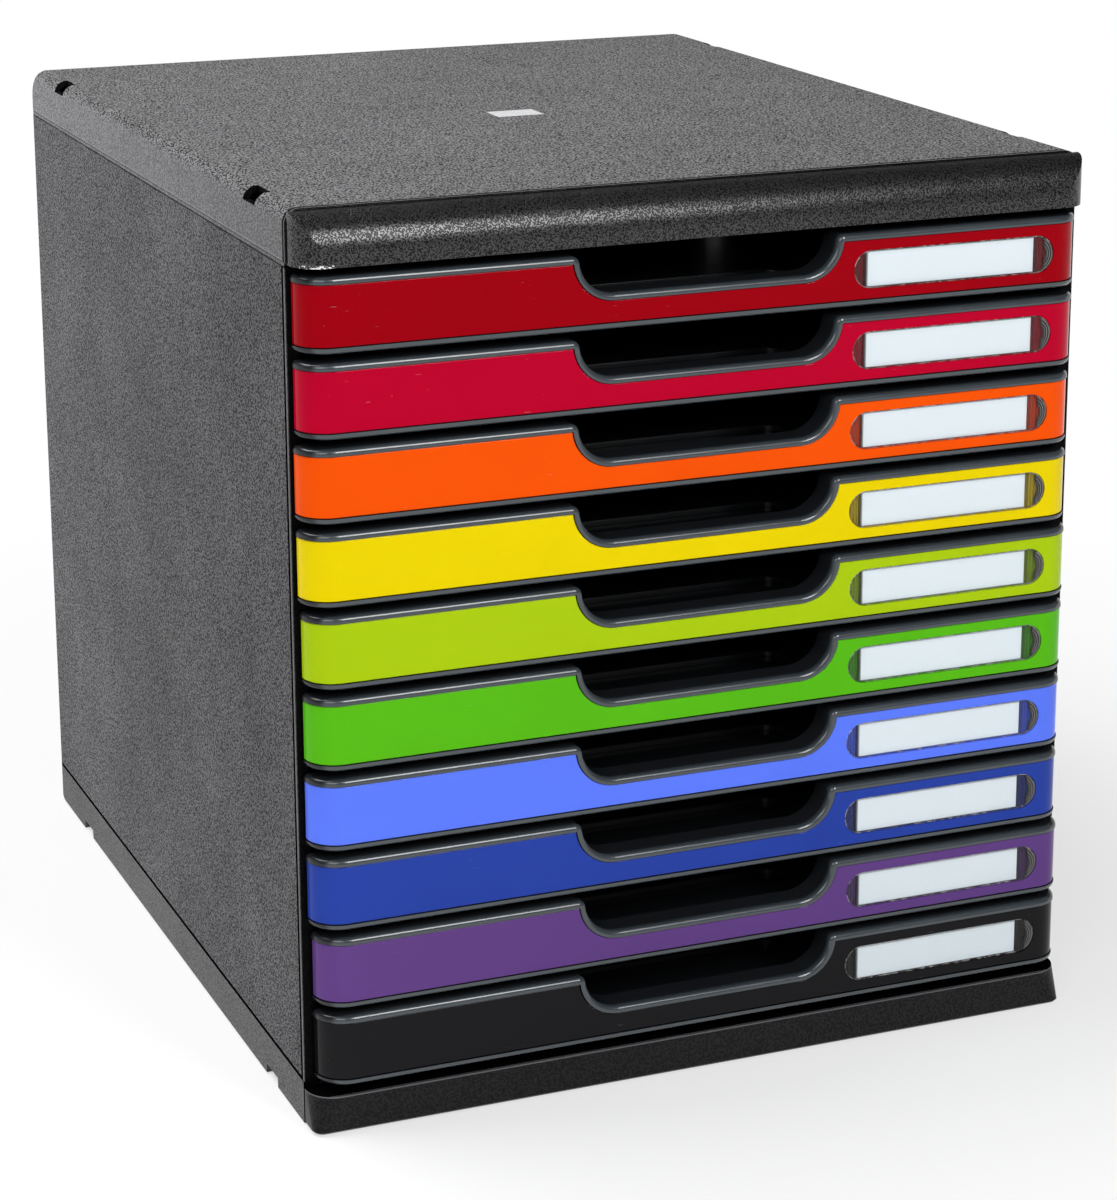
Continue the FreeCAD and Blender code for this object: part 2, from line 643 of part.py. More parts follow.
def drawer_front():
    """The coloured panel: a glossy skin round both corners, with a blind pocket for its window."""
    panel = panel_zone(-PANEL_FIT, PANEL_INSET, PANEL_BACK - PANEL_FIT)
    outer = [edge for edge in panel.Edges if on_skin(edge) and edge.BoundBox.YMin < CAP_BACK - PAST / 2]
    panel = panel.makeFillet(PANEL_EDGE_R, outer)
    pocket = stadium(WINDOW_LENGTH, WINDOW_HEIGHT, PANEL_FACE - PAST, PANEL_FACE + POCKET_DEPTH)
    return panel.cut(pocket).fuse(pocket_ribs()).removeSplitter()


def label_window():
    """The clear insert that closes the pocket over the card."""
    length, height = WINDOW_LENGTH - 2 * WINDOW_FIT, WINDOW_HEIGHT - 2 * WINDOW_FIT
    insert = stadium(length, height, WINDOW_FACE, WINDOW_FACE + WINDOW_THICK)
    return insert.makeChamfer(WINDOW_EDGE, edges_where(insert, lambda x, y, z: near(y, WINDOW_FACE)))


def label_card():
    """The blank white card behind the window."""
    x, y = WINDOW_X + CARD_SHIFT, WINDOW_FACE + WINDOW_THICK + CARD_GAP
    w, h = CARD_LENGTH / 2, CARD_HEIGHT / 2
    return block(x - w, x + w, y, y + CARD_THICK, WINDOW_Z - h, WINDOW_Z + h)


def tray_hollows():
    """What is taken out of a tray's block: its inside, the finger scoop and the step below."""
    side = TRAY_HALF - TRAY_WALL
    rear = TRAY_BACK - TRAY_WALL
    inner = block(-side, side, TRAY_FRONT - PAST, rear, FLOOR_TOP, TRAY_SIDE_TOP + PAST)
    corners = edges_where(inner, lambda x, y, z: near(abs(x), side) and near(y, rear))
    inner = inner.makeFillet(TRAY_CORNER_R - TRAY_WALL, corners)
    scoop = block(-CUT_HALF, CUT_HALF, TRAY_FRONT - PAST, SCOOP_BACK, SCOOP_TOP, FLOOR_TOP + PAST)
    corners = edges_where(scoop, lambda x, y, z: near(abs(x), CUT_HALF) and near(y, SCOOP_BACK))
    scoop = scoop.makeFillet(SCOOP_R, corners)
    low, step = FLOOR_TOP - TRAY_WALL, SCOOP_BACK + TRAY_WALL
    wide = TRAY_HALF + PAST
    below = [block(-wide, wide, step, TRAY_BACK + PAST, 0, low)]
    below += both(block(CUT_HALF + TRAY_WALL, wide, TRAY_FRONT - PAST, step + PAST, 0, low))
    return [inner, scoop] + below


def is_scoop_lip(x, y, z):
    """True on the floor's edge round the finger scoop."""
    inside = abs(x) < CUT_HALF + 0.01 and TRAY_FRONT + PAST < y < SCOOP_BACK + 0.01
    return near(z, FLOOR_TOP) and inside


def tray_box():
    """The tray behind the front: floor with a finger scoop and low walls."""
    low = SCOOP_TOP - TRAY_WALL
    outer = block(-TRAY_HALF, TRAY_HALF, TRAY_FRONT, TRAY_BACK, low, TRAY_SIDE_TOP)
    corners = edges_where(outer, lambda x, y, z: near(abs(x), TRAY_HALF) and near(y, TRAY_BACK))
    tray = outer.makeFillet(TRAY_CORNER_R, corners).cut(tray_hollows())
    return tray.makeFillet(FLOOR_EDGE_R, edges_where(tray, is_scoop_lip))


def flanges_and_ears():
    """The side flanges that a tray hangs by and the ears that meet the runner's stops."""
    root, under = TRAY_HALF - TRAY_OVERLAP, TRAY_SIDE_TOP - FLANGE_THICK
    flange_end = TRAY_BACK - TRAY_CORNER_R
    flange = block(root, RUNNER_FACE - SIDE_PLAY, CARCASS + SEAM, flange_end, under, TRAY_SIDE_TOP)
    ear_top = under - RUN_CLEAR - RAIL_THICK - EAR_DROP
    ear_back = EAR_FRONT + EAR_LENGTH
    ear = block(root, TRAY_HALF + EAR_REACH, EAR_FRONT, ear_back, ear_top - EAR_HEIGHT, ear_top)
    return both(flange) + both(ear)


def drawer_tray():
    """A whole tray: the hollow moulded front with its panel recess, joined to the open box."""
    cap = cap_body().cut(panel_zone(0.0, -PAST, PANEL_BACK))
    hollow = front_slab(0.0, -PAST, FRONT_HEIGHT - CAP_WALL, HIGH_BEAD - CAP_WALL, FRONT, CAP_BACK - CAP_WALL)
    inside = corner_prism(PANEL_BACK + CAP_WALL, -2 * PAST, FRONT_HEIGHT + PAST, 0.0)
    cap = cap.cut(hollow.common(inside))
    return cap.fuse([tray_box()] + flanges_and_ears()).removeSplitter()


def place_drawer(shape, index):
    """A copy of a drawer piece at its own level, with its small sideways rest."""
    copy = shape.copy()
    copy.translate(V(REST_SHIFT.get(index, 0.0), 0, drawer_base(index)))
    return copy


def save(name, shape):
    """Writes one node, after a check that it is sound."""
    if not shape.isValid():
        raise ValueError(name + " is not valid")
    shape.exportStep("parts/" + name + ".step")
    print(name, len(shape.Solids), "solids", round(shape.Volume / 1000, 2), "cm3")


def build():
    """Makes every node."""
    os.makedirs("parts", exist_ok=True)
    right_side, right_runner = side_panel(), runner_frame()
    cabinet = {
        "top_cover": top_cover(),
        "top_visor": top_visor(),
        "badge_plate": badge_plate(),
        "left_side_panel": mirror_x(right_side),
        "right_side_panel": right_side,
        "back_panel": back_panel(),
        "base_pan": base_pan(),
        "base_fascia": base_fascia(),
        "foot_pads": foot_pads(),
        "left_runner_frame": mirror_x(right_runner),
        "right_runner_frame": right_runner,
    }
    for name, shape in cabinet.items():
        save(name, shape)
    pieces = {"tray": drawer_tray(), "front": drawer_front(), "window": label_window(), "card": label_card()}
    for index in range(1, DRAWER_COUNT + 1):
        for piece, shape in pieces.items():
            save("drawer_%02d_%s" % (index, piece), place_drawer(shape, index))


build()
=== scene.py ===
"""Looks of a desktop drawer unit: grained black cabinet, ten glossy coloured drawers, clear windows."""
import logging
import math
from dataclasses import dataclass
from enum import Enum, IntEnum
from typing import Optional, Protocol, Sequence, Union

import bpy
from mathutils import Matrix, Vector


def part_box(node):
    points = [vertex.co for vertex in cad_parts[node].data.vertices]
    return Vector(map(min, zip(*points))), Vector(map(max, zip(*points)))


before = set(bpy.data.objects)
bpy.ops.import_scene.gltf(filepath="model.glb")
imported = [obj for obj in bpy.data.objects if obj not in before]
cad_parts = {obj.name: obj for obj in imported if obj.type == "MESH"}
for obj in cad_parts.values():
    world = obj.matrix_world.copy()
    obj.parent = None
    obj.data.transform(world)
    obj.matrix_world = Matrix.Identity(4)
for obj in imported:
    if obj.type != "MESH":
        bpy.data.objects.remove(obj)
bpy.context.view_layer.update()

Socket = bpy.types.NodeSocket
Triple = tuple[float, float, float]
Colour = Triple
Span = tuple[float, float]
Value = Union[Socket, float]
Paint = Union[Socket, Colour]

LOG = logging.getLogger("drawer_unit")
MM = 0.001
MM_PER_METRE = 1000.0
PAST = 1.0 * MM
FAR = 1.0
EVEN = (1.0, 1.0, 1.0)
WHITE = (1.0, 1.0, 1.0, 1.0)
# BLACK is the tone of painted shade in gaps, grooves, notches and the cabinet's inside.
BLACK = (0.0015, 0.0015, 0.0016)
CLOUD = (0.3, 0.7)
GRAIN_CUT = (0.45, 0.55)
NOISE_TURN = (0.61, 0.43, 0.92)


class Axis(IntEnum):
    """The axes of the frame: across, front to back, and up."""

    X = 0
    Y = 1
    Z = 2


def lowest(node: str, axis: Axis) -> float:
    """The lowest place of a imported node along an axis, in metres."""
    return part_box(node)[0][axis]


def highest(node: str, axis: Axis) -> float:
    """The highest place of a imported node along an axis, in metres."""
    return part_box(node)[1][axis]


def extent(node: str) -> Vector:
    """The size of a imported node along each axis, in metres."""
    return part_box(node)[1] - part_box(node)[0]


HALF = highest("top_cover", Axis.X)
TOP = highest("top_cover", Axis.Z)
SKIRT = lowest("top_cover", Axis.Z)
COVER_FRONT = lowest("top_cover", Axis.Y)
COVER_REAR = highest("top_cover", Axis.Y)
VISOR_FRONT = lowest("top_visor", Axis.Y)
VISOR_LOW = lowest("top_visor", Axis.Z)
SIDE_FRONT = lowest("left_side_panel", Axis.Y)
RUNNER_FRONT = lowest("left_runner_frame", Axis.Y)
BASE_TOP = highest("base_pan", Axis.Z)
FASCIA_FRONT = lowest("base_fascia", Axis.Y)
FASCIA_TOP = highest("base_fascia", Axis.Z)
DRAWER_FACE = lowest("drawer_05_front", Axis.Y)
PLATE_SIZE = extent("badge_plate")
WINDOW_SIZE = extent("drawer_05_window")
# The band of painted shade in the groove between the side panels and the base.
SEAM_SHADE = (BASE_TOP - 0.5 * MM, BASE_TOP + 1.0 * MM)


class Net:
    """A small builder for the node tree of a material or a world."""

    def __init__(self, name: str, world: Optional[bpy.types.World] = None) -> None:
        """Starts an empty tree.

        Args:
            name: The material's name.
            world: The world to fill, where it isn't a material.
        """
        self.owner = world or bpy.data.materials.new(name)
        self.owner.use_nodes = True
        self.tree = self.owner.node_tree
        self.tree.nodes.clear()
        self.output = self.tree.nodes.new("ShaderNodeOutputWorld" if world else "ShaderNodeOutputMaterial")
        self.place = self.add("ShaderNodeTexCoord").outputs["Object"]

    def add(self, kind: str, settings: Optional[dict] = None, **inputs: object) -> bpy.types.Node:
        """Adds a node.

        Args:
            kind: The node's type name.
            settings: Attributes to set on the node itself.
            inputs: Values or sockets for its inputs, with underscores for spaces.

        Returns:
            The new node.
        """
        node = self.tree.nodes.new(kind)
        for key, value in (settings or {}).items():
            setattr(node, key, value)
        for key, value in inputs.items():
            self.put(node.inputs[key.replace("_", " ")], value)
        return node

    def put(self, socket: Socket, value: object) -> None:
        """Links a socket to another, or gives it a plain value.

        Args:
            socket: The input to fill.
            value: A socket to link, or a plain value.
        """
        if isinstance(value, bpy.types.NodeSocket):
            self.tree.links.new(value, socket)
        else:
            socket.default_value = value

    def maths(self, kind: str, first: Value, second: Value = 0.0, third: Value = 0.0) -> Socket:
        """A sum on numbers.

        Args:
            kind: The operation's name.
            first: A number or socket.
            second: A number or socket.
            third: A number or socket.

        Returns:
            The result's socket.
        """
        node = self.add("ShaderNodeMath", {"operation": kind})
        for socket, value in zip(node.inputs, (first, second, third)):
            self.put(socket, value)
        return node.outputs[0]

    def times(self, first: Value, second: Value) -> Socket:
        """The product of two numbers or sockets."""
        return self.maths("MULTIPLY", first, second)

    def larger(self, first: Value, second: Value) -> Socket:
        """The larger of two numbers or sockets."""
        return self.maths("MAXIMUM", first, second)

    def split(self, vector: Socket) -> Sequence[Socket]:
        """The three parts of a vector, each as a socket."""
        return self.add("ShaderNodeSeparateXYZ", Vector=vector).outputs

    def drawn_out(self, stretch: Triple) -> Socket:
        """The place on the object, drawn out and then turned, so that noise shows no grid on flat faces.

        Args:
            stretch: How far features are drawn out along each axis.

        Returns:
            The place's socket.
        """
        node = self.add("ShaderNodeVectorMath", {"operation": "DIVIDE"})
        self.put(node.inputs[0], self.place)
        self.put(node.inputs[1], stretch)
        turned = self.add("ShaderNodeVectorRotate", {"rotation_type": "EULER_XYZ"}, Vector=node.outputs[0],
                          Rotation=NOISE_TURN)
        return turned.outputs[0]

    def noise(self, size_mm: float, detail: float = 2.0, roughness: float = 0.5,
              stretch: Triple = EVEN) -> Socket:
        """Cloud noise from 0 to 1.

        Args:
            size_mm: The size of its features in millimetres.
            detail: How many finer layers it has.
            roughness: How strong each finer layer is.
            stretch: How far the features are drawn out along each axis.

        Returns:
            The noise's socket.
        """
        node = self.add("ShaderNodeTexNoise", Vector=self.drawn_out(stretch), Scale=MM_PER_METRE / size_mm,
                        Detail=detail, Roughness=roughness)
        return node.outputs["Fac"]

    def tinted(self, colour: Paint, level: Value) -> Socket:
        """A colour made lighter or darker.

        Args:
            colour: A colour or socket.
            level: What it is multiplied by.

        Returns:
            The new colour's socket.
        """
        node = self.add("ShaderNodeVectorMath", {"operation": "SCALE"})
        self.put(node.inputs[0], colour)
        self.put(node.inputs["Scale"], level)
        return node.outputs[0]

    def span(self, value: Socket, ends: Span, out: Span = (0.0, 1.0)) -> Socket:
        """Maps one range of numbers to another, with its ends held.

        Args:
            value: What is mapped.
            ends: The range that it comes from.
            out: The range that it goes to.

        Returns:
            The mapped number's socket.
        """
        node = self.add("ShaderNodeMapRange", {"clamp": True}, Value=value)
        for name, number in zip(("From Min", "From Max", "To Min", "To Max"), ends + out):
            node.inputs[name].default_value = number
        return node.outputs[0]

    def blend(self, part: Value, first: Paint, second: Paint) -> Socket:
        """Mixes two colours.

        Args:
            part: How much of the second colour, from 0 to 1.
            first: A colour or socket.
            second: A colour or socket.

        Returns:
            The mixed colour's socket.
        """
        node = self.add("ShaderNodeMix", {"data_type": "RGBA"})
        colour_a, colour_b, colour_out = 6, 7, 2
        self.put(node.inputs[0], part)
        for index, value in ((colour_a, first), (colour_b, second)):
            self.put(node.inputs[index], (*value, 1.0) if isinstance(value, tuple) else value)
        return node.outputs[colour_out]

    def band(self, value: Socket, ends: Span, edge: float) -> Socket:
        """1 between two ends and 0 outside them.

        Args:
            value: What is measured.
            ends: The lower and the upper end.
            edge: Half the width of each end's slope.

        Returns:
            The band's socket.
        """
        rise = self.span(value, (ends[0] - edge, ends[0] + edge))
        fall = self.span(value, (ends[1] - edge, ends[1] + edge), (1.0, 0.0))
        return self.times(rise, fall)

    def upright(self) -> Socket:
        """How far a face looks up or down, from 0 on a wall to 1 on a floor."""
        normal = self.add("ShaderNodeNewGeometry").outputs["Normal"]
        return self.maths("ABSOLUTE", self.split(normal)[Axis.Z])

    def bump(self, height: Socket, depth_mm: float, under: Optional[Socket] = None) -> Socket:
        """Turns a height into a bent normal.

        Args:
            height: The height's socket, from 0 to 1.
            depth_mm: How deep the full range is, in millimetres.
            under: A bent normal to add to.

        Returns:
            The new normal's socket.
        """
        node = self.add("ShaderNodeBump", Height=height, Distance=depth_mm / MM_PER_METRE, Strength=1.0)
        if under is not None:
            self.put(node.inputs["Normal"], under)
        return node.outputs[0]

    def mixed(self, part: Value, first: bpy.types.Node, second: bpy.types.Node) -> None:
        """Closes the tree with a mix of two shaders.

        Args:
            part: How much of the second shader, from 0 to 1.
            first: A shader node.
            second: A shader node.
        """
        mix = self.add("ShaderNodeMixShader")
        for socket, value in zip(mix.inputs, (part, first.outputs[0], second.outputs[0])):
            self.put(socket, value)
        self.put(self.output.inputs[0], mix.outputs[0])

    def finish(self, **inputs: object) -> bpy.types.Material:
        """Closes the tree with the standard surface shader.

        Args:
            inputs: Values or sockets for the shader, with underscores for spaces.

        Returns:
            The finished material.
        """
        shader = self.add("ShaderNodeBsdfPrincipled", **inputs)
        self.put(self.output.inputs[0], shader.outputs[0])
        return self.owner


class Finish(Protocol):
    """What every finish can do."""

    name: str

    def make(self) -> bpy.types.Material:
        """Builds the material."""


@dataclass(frozen=True)
class Zone:
    """A box of space where a surface has another tone, mostly painted shade or painted highlight, and on
    the visor real chips; mirrored, its x counts from the middle both ways.
    """

    tone: Colour
    part: float = 1.0
    x: Optional[Span] = None
    y: Optional[Span] = None
    z: Optional[Span] = None
    edge: float = 0.08 * MM
    mirrored: bool = True
    flake_mm: float = 0.0
    flake_cut: Span = (0.53, 0.57)

    def mask(self, net: Net) -> Value:
        """How much of the tone each place has.

        Args:
            net: The material's tree.

        Returns:
            The amount, from 0 to 1.
        """
        across, along, up = net.split(net.place)
        if self.mirrored:
            across = net.maths("ABSOLUTE", across)
        inside: Value = self.part
        for place, ends in ((across, self.x), (along, self.y), (up, self.z)):
            if ends is not None:
                inside = net.times(inside, net.band(place, ends, self.edge))
        if self.flake_mm:
            inside = net.times(inside, net.span(net.noise(self.flake_mm, 2.0, 0.7), self.flake_cut))
        return inside


@dataclass(frozen=True)
class MouldedFinish:
    """A grained moulded plastic with a little mottling."""

    name: str
    colour: Colour
    roughness: float
    grain_mm: float
    depth_mm: float
    contrast: float
    mottle: float
    specular: float = 0.5
    stretch: Triple = EVEN
    zones: Sequence[Zone] = ()
    front_shade: float = 0.0
    patch_mm: float = 60.0
    sheen_mm: float = 35.0
    sheen_swing: float = 0.06

    def strength(self, net: Net) -> Value:
        """How strongly the grain shows, from 0 to 1."""
        return self.contrast

    def pigment(self, net: Net) -> Paint:
        """The plain colour under the grain."""
        return self.colour

    def level(self, net: Net, height: Socket) -> Socket:
        """How light each place is beside the plain colour, with its grain, mottling and any painted shade
        towards the front.

        Args:
            net: The material's tree.
            height: The grain's height, from 0 to 1.

        Returns:
            The level's socket, about 1.
        """
        swing = net.times(net.span(height, (0.0, 1.0), (-1.0, 1.0)), self.strength(net))
        patches = net.span(net.noise(self.patch_mm, 3.0), CLOUD, (1.0 - self.mottle, 1.0 + self.mottle))
        level = net.times(net.maths("ADD", swing, 1.0), patches)
        # Painted shade: the part grows darker towards its front.
        if self.front_shade:
            depth = net.split(net.place)[Axis.Y]
            level = net.times(level, net.span(depth, (COVER_FRONT, COVER_REAR), (1.0 - self.front_shade, 1.0)))
        return level

    def make(self) -> bpy.types.Material:
        """Builds the material.

        Returns:
            The finished material.
        """
        net = Net(self.name)
        height = net.span(net.noise(self.grain_mm, 0.0, 0.5, self.stretch), GRAIN_CUT)
        level = self.level(net, height)
        paint = net.tinted(self.pigment(net), level)
        shine = net.times(level, self.specular)
        for zone in self.zones:
            mask = zone.mask(net)
            paint = net.blend(mask, paint, zone.tone)
            shine = net.times(shine, net.maths("SUBTRACT", 1.0, mask))
        smooth = self.roughness * (1.0 - self.sheen_swing)
        rough = min(self.roughness * (1.0 + self.sheen_swing), 1.0)
        sheen = net.span(net.noise(self.sheen_mm, 2.0), CLOUD, (smooth, rough))
        return net.finish(Base_Color=paint, Roughness=sheen, Specular_IOR_Level=shine,
                          Normal=net.bump(height, self.depth_mm))


@dataclass(frozen=True)
class CoverFinish(MouldedFinish):
    """The cover's plastic: grained on top, and paler and smoother on its skirt, with painted light that
    makes the skirt lighter towards the rear.
    """

    skirt: Colour = (0.105, 0.103, 0.110)
    skirt_grain: float = 0.45
    skirt_rear_light: Span = (0.75, 1.5)
    flat_from: Span = (0.1, 0.8)

    def strength(self, net: Net) -> Value:
        """How strongly the grain shows: fully on top, less on the skirt."""
        return net.span(net.upright(), self.flat_from, (self.contrast * self.skirt_grain, self.contrast))

    def pigment(self, net: Net) -> Paint:
        """The colour, which grows paler down the skirt, and lighter towards the rear as painted light.

        Args:
            net: The material's tree.

        Returns:
            The colour's socket.
        """
        # Painted light: the skirt grows lighter towards the rear.
        rear = net.span(net.split(net.place)[Axis.Y], (COVER_FRONT, COVER_REAR), self.skirt_rear_light)
        return net.blend(net.span(net.upright(), self.flat_from), net.tinted(self.skirt, rear), self.colour)


@dataclass(frozen=True)
class GlossFinish:
    """A glossy coloured panel: slightly wavy, with dust, faint rub marks and bright edges."""

    name: str
    colour: Colour
    roughness: float = 0.08
    ior: float = 1.24
    face_shine: float = 0.38
    edge_from: Span = (0.15, 0.45)
    deep_shine: float = 0.85
    tone_mm: float = 45.0
    tone_swing: float = 0.03
    wave_mm: float = 14.0
    wave_depth_mm: float = 0.012
    ripple_mm: float = 0.9
    ripple_part: float = 0.12
    rub_mm: float = 22.0
    rub_cut: Span = (0.35, 0.75)
    rub_levels: Span = (0.85, 1.35)
    dust_colour: Colour = (0.75, 0.75, 0.75)
    dust_cover: float = 0.5
    dust_roughness: float = 0.8
    dust_mm: float = 8.0
    dust_share: float = 0.125
    dust_radius: Span = (0.015, 0.035)
    hair_mm: float = 1.2
    hair_stretch: Triple = (5.0, 1.0, 0.35)
    hair_cut: Span = (0.735, 0.75)
    hair_strength: float = 0.35

    def shine_tint(self) -> Colour:
        """The colour of reflections, which a deep clear pigment takes on."""
        top = max(self.colour)
        return tuple(1.0 - self.deep_shine + self.deep_shine * part / top for part in self.colour)

    def specks(self, net: Net) -> Socket:
        """Dust and short scratches.

        Args:
            net: The material's tree.

        Returns:
            How much of them each place has, from 0 to 1.
        """
        cell = net.add("ShaderNodeTexVoronoi", Vector=net.place, Scale=MM_PER_METRE / self.dust_mm)
        near = net.span(cell.outputs["Distance"], self.dust_radius, (1.0, 0.0))
        pick = net.add("ShaderNodeSeparateColor", Color=cell.outputs["Color"]).outputs[0]
        dots = net.times(near, net.maths("GREATER_THAN", pick, 1.0 - self.dust_share))
        clouds = net.noise(self.hair_mm, 3.0, 0.6, self.hair_stretch)
        return net.larger(dots, net.span(clouds, self.hair_cut, (0.0, self.hair_strength)))

    def make(self) -> bpy.types.Material:
        """Builds the material.

        Returns:
            The finished material.
        """
        net = Net(self.name)
        waves = net.bump(net.noise(self.wave_mm, 2.0, 0.45), self.wave_depth_mm)
        ripple = net.noise(self.ripple_mm, 2.0, 0.5)
        normal = net.bump(ripple, self.wave_depth_mm * self.ripple_part, waves)
        tone = net.span(net.noise(self.tone_mm, 3.0), CLOUD, (1.0 - self.tone_swing, 1.0 + self.tone_swing))
        speck = self.specks(net)
        dusty = net.times(speck, self.dust_cover)
        colour = net.blend(dusty, net.tinted(self.colour, tone), self.dust_colour)
        worn = tuple(self.roughness * level for level in self.rub_levels)
        rub = net.span(net.noise(self.rub_mm, 4.0, 0.6), self.rub_cut, worn)
        rough = net.larger(rub, net.times(speck, self.dust_roughness))
        edge = net.span(net.upright(), self.edge_from)
        shine = net.span(edge, (0.0, 1.0), (self.face_shine, 1.0))
        tint = net.blend(edge, self.shine_tint(), EVEN)
        return net.finish(Base_Color=colour, Roughness=rough, Specular_IOR_Level=shine, IOR=self.ior,
                          Specular_Tint=tint, Normal=normal)


@dataclass(frozen=True)
class TrayFinish:
    """The drawer moulding: a satin slate rim at the very front, and behind it a near-black painted shade,
    with painted shade in its crevices as well.
    """

    name: str
    edge: Colour
    inside: Colour
    rim_end: float
    rim_soft: float = 0.6 * MM
    roughness: float = 0.20
    rough_levels: Span = (0.9, 1.15)
    rough_mm: float = 20.0
    crevice_mm: float = 1.3
    crevice_from: Span = (0.35, 0.85)
    crevice_shade_level: float = 0.12
    shine_levels: Span = (0.75, 0.35)
    tone_mm: float = 30.0
    tone_swing: float = 0.06
    grain_mm: float = 0.7
    grain_depth_mm: float = 0.003

    def make(self) -> bpy.types.Material:
        """Builds the material.

        Returns:
            The finished material.
        """
        net = Net(self.name)
        # Painted shade: behind the rim, the moulding takes the near-black colour of its shaded inside.
        behind = (self.rim_end - self.rim_soft, self.rim_end + self.rim_soft)
        deep = net.span(net.split(net.place)[Axis.Y], behind)
        # Painted shade in crevices, from ambient occlusion, on both colour and shine.
        crevice_shade_ao = net.add("ShaderNodeAmbientOcclusion", {"samples": 6}, Distance=self.crevice_mm * MM)
        bare = net.span(crevice_shade_ao.outputs["AO"], self.crevice_from, (self.crevice_shade_level, 1.0))
        tone = net.span(net.noise(self.tone_mm, 3.0), CLOUD, (1.0 - self.tone_swing, 1.0 + self.tone_swing))
        paint = net.tinted(net.blend(deep, self.edge, self.inside), net.times(tone, bare))
        worn = tuple(self.roughness * level for level in self.rough_levels)
        rough = net.span(net.noise(self.rough_mm, 3.0, 0.6), CLOUD, worn)
        shine = net.times(bare, net.span(deep, (0.0, 1.0), self.shine_levels))
        grain = net.bump(net.noise(self.grain_mm, 2.0, 0.6), self.grain_depth_mm)
        return net.finish(Base_Color=paint, Roughness=rough, Specular_IOR_Level=shine, Normal=grain)


